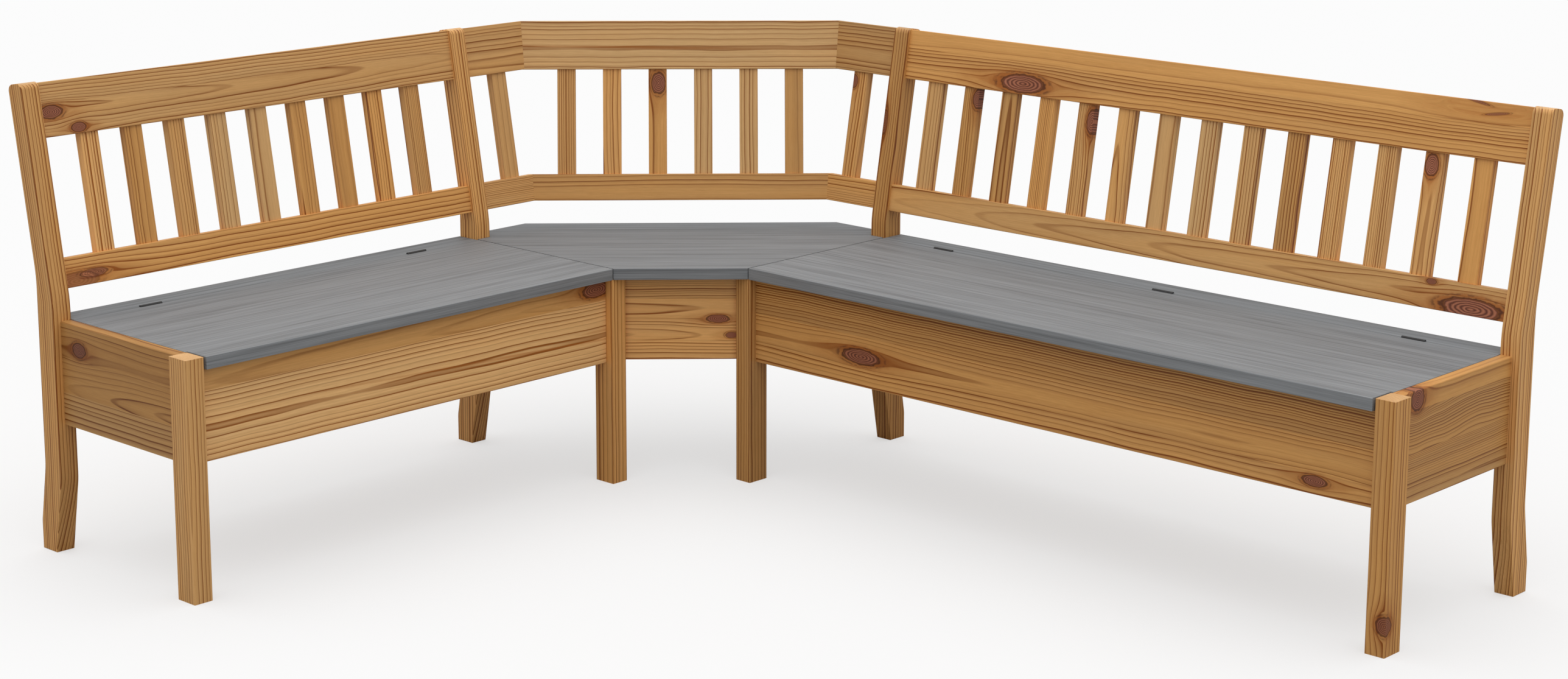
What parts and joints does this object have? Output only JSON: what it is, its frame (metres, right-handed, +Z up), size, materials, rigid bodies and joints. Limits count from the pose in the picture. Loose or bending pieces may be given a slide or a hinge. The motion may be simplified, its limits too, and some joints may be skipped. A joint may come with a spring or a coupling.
{
  "type": "corner storage bench",
  "caption": "L-shaped corner bench with a cut-off corner seat, slatted leaning back, box bases on legs and a hinged lid over the storage box in each wing.",
  "frame": {"origin": "middle of the bench's box, on the floor", "axes": "+X along the long wing away from the corner, +Y towards the wall behind the long wing, +Z up. The short wing runs towards -Y on the -X side."},
  "size_m": [2.2632, 1.7912, 0.908],
  "materials": {
    "pine": "oiled, satin",
    "stained_pine": "grey stain, matt",
    "floor_board": "plain plywood, matt",
    "dowel_wood": "plain beech",
    "hinge_steel": "black, satin",
    "screw_steel": "zinc plated"
  },
  "bodies": {
    "frame": {"corner_front_panel": "pine", "corner_lower_rail_left": "pine", "corner_lower_rail_middle": "pine", "corner_lower_rail_right": "pine", "corner_seat": "stained_pine", "corner_seat_cleats": "pine", "corner_slat_left": "pine", "corner_slat_right": "pine", "corner_slats": "pine", "corner_top_rail_left": "pine", "corner_top_rail_middle": "pine", "corner_top_rail_right": "pine", "frame_screws": "screw_steel", "hinge_fixed_leaves": "hinge_steel", "hinge_fixed_screws": "screw_steel", "hinge_pins": "hinge_steel", "left_back_panel": "pine", "left_end_leg": "pine", "left_end_panel": "pine", "left_end_post": "pine", "left_floor": "floor_board", "left_floor_battens": "pine", "left_front_panel": "pine", "left_inner_leg": "pine", "left_inner_panel": "pine", "left_inner_post": "pine", "left_lower_rail": "pine", "left_rear_strip": "stained_pine", "left_slats": "pine", "left_strip_cleat": "pine", "left_top_rail": "pine", "panel_dowels": "dowel_wood", "right_back_panel": "pine", "right_end_leg": "pine", "right_end_panel": "pine", "right_end_post": "pine", "right_floor": "floor_board", "right_floor_battens": "pine", "right_front_panel": "pine", "right_inner_leg": "pine", "right_inner_panel": "pine", "right_inner_post": "pine", "right_lower_rail": "pine", "right_rear_strip": "stained_pine", "right_slats": "pine", "right_strip_cleat": "pine", "right_top_rail": "pine"},
    "left_lid": {"left_hinge_lid_leaves": "hinge_steel", "left_hinge_lid_screws": "screw_steel", "left_lid": "stained_pine", "left_lid_batten_screws": "screw_steel", "left_lid_battens": "pine"},
    "right_lid": {"right_hinge_lid_leaves": "hinge_steel", "right_hinge_lid_screws": "screw_steel", "right_lid": "stained_pine", "right_lid_batten_screws": "screw_steel", "right_lid_battens": "pine"}
  },
  "joints": [
    {"name": "left_lid_hinge", "type": "hinge", "parent": "frame", "child": "left_lid", "pos_m": [-1.00944, -0.34906, 0.46], "axis": [0, -1, 0], "range_deg": [0, 100]},
    {"name": "right_lid_hinge", "type": "hinge", "parent": "frame", "child": "right_lid", "pos_m": [0.34906, 0.77344, 0.46], "axis": [-1, 0, 0], "range_deg": [0, 100]}
  ]
}
